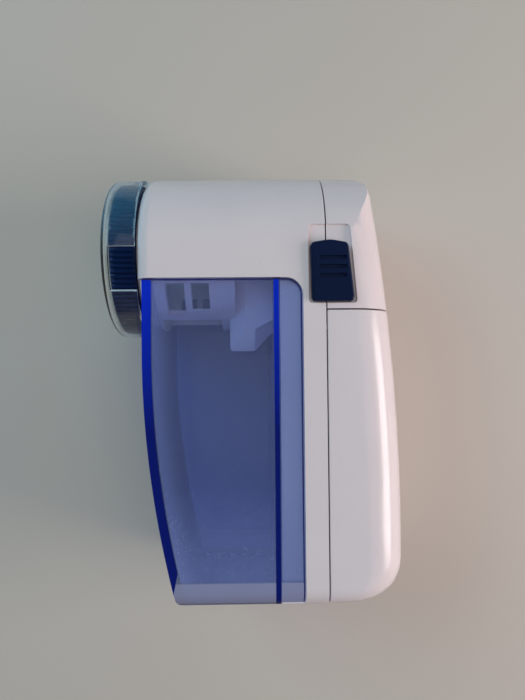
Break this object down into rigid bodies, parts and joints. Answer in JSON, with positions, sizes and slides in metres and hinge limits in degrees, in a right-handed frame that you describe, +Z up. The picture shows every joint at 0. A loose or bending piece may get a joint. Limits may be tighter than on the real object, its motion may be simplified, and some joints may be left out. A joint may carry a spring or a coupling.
{
  "type": "fabric shaver",
  "caption": "Battery fabric shaver lying on its side: round cutting head under a clear cap, blue lint container, white housing with slide switch.",
  "frame": {"origin": "centre of the bounding box's bottom face, on the surface that the shaver lies on", "axes": "+Y towards the head end, along the body's length; +X towards the battery grip, away from the cutting head; +Z up, out of the side with the switch"},
  "size_m": [0.0724, 0.1064, 0.0432],
  "materials": {
    "white_shell": "glossy white moulded plastic",
    "blue_container": "translucent blue clear plastic",
    "clear_cap": "clear glossy plastic",
    "navy_plastic": "dark navy semi-gloss plastic",
    "black_plastic": "matte black moulded plastic",
    "steel": "plated steel",
    "blade_steel": "ground stainless steel",
    "brass": "brass",
    "copper_winding": "enamelled copper winding on a core",
    "magnet": "ferrite magnet",
    "cell_jacket": "plain green cell jacket",
    "lead_red": "red lead insulation",
    "lead_black": "black lead insulation"
  },
  "bodies": {
    "housing": {"front_housing": "white_shell", "rear_cover": "white_shell", "motor_can": "steel", "motor_end_cap": "black_plastic", "motor_bush": "brass", "motor_magnet_1": "magnet", "motor_magnet_2": "magnet", "motor_terminal_1": "brass", "motor_terminal_2": "brass", "motor_screw_1": "steel", "motor_screw_2": "steel", "slide_switch_body": "steel", "switch_terminal_1": "brass", "switch_terminal_2": "brass", "battery_tray": "black_plastic", "battery_cell_1": "cell_jacket", "battery_cell_2": "cell_jacket", "button_contact": "steel", "spring_contact": "steel", "bridge_contact": "steel", "lead_1": "lead_red", "lead_2": "lead_black", "lead_3": "lead_black", "housing_screw": "steel", "tray_screw_1": "steel", "tray_screw_2": "steel"},
    "guard": {"guard_ring": "navy_plastic", "foil_screen": "steel", "foil_clamp_ring": "black_plastic"},
    "cap": {"clear_cap": "clear_cap"},
    "rotor": {"motor_shaft": "steel", "motor_armature": "copper_winding", "drive_sleeve": "black_plastic", "blade_screw": "steel", "blade_spring": "steel"},
    "cutter": {"blade_hub": "black_plastic", "blade_1": "blade_steel", "blade_2": "blade_steel", "blade_3": "blade_steel"},
    "switch": {"switch_slider": "navy_plastic", "switch_carrier": "black_plastic", "switch_nub": "black_plastic"},
    "door": {"battery_door": "white_shell"},
    "container": {"lint_container": "blue_container"}
  },
  "joints": [
    {"name": "guard_twist", "type": "hinge", "parent": "housing", "child": "guard", "pos_m": [-0.031, 0.03225, 0.021], "axis": [1, 0, 0], "range_deg": [0, 30]},
    {"name": "cap_pull", "type": "slide", "parent": "guard", "child": "cap", "axis": [-1, 0, 0], "range_m": [0, 0.025]},
    {"name": "rotor_spin", "type": "hinge", "parent": "housing", "child": "rotor", "pos_m": [0.005, 0.03225, 0.021], "axis": [1, 0, 0], "continuous": true},
    {"name": "blade_float", "type": "slide", "parent": "rotor", "child": "cutter", "axis": [1, 0, 0], "range_m": [0, 0.001], "stiffness_N_per_m": 100, "springref_m": -0.004, "deforming": ["blade_spring"]},
    {"name": "switch_slide", "type": "slide", "parent": "housing", "child": "switch", "axis": [0, 1, 0], "range_m": [0, 0.0035]},
    {"name": "door_slide", "type": "slide", "parent": "housing", "child": "door", "axis": [0, -1, 0], "range_m": [0, 0.075]},
    {"name": "container_slide", "type": "slide", "parent": "housing", "child": "container", "axis": [0, -1, 0], "range_m": [0, 0.08]}
  ]
}
